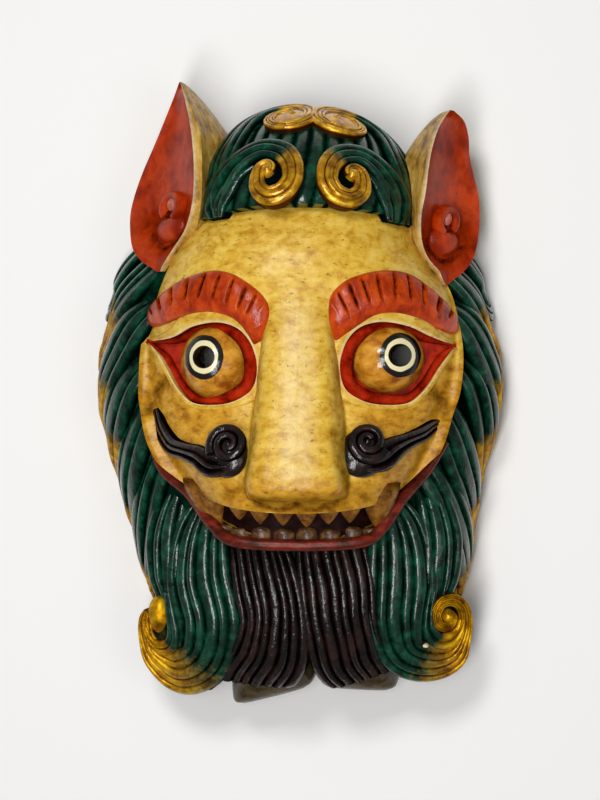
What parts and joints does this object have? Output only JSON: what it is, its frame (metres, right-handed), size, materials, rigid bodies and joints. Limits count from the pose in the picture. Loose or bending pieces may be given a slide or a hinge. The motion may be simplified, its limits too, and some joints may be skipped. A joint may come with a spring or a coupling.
{
  "type": "snow lion mask",
  "caption": "Carved and painted wooden lion mask with upright ears, curled mane and beard, drilled pupils, and a hollow back with a flat rim.",
  "frame": {"origin": "under the middle of the mask's outline, on the plane of its flat rim", "axes": "+Y from the beard to the ears, +Z out of the face, +X to the right of someone who looks at the face"},
  "size_m": [0.2854, 0.424, 0.1535],
  "materials": {
    "painted_wood": "glossy varnish over paint on carved wood"
  },
  "bodies": {
    "root": {"mask": "painted_wood"}
  },
  "joints": []
}
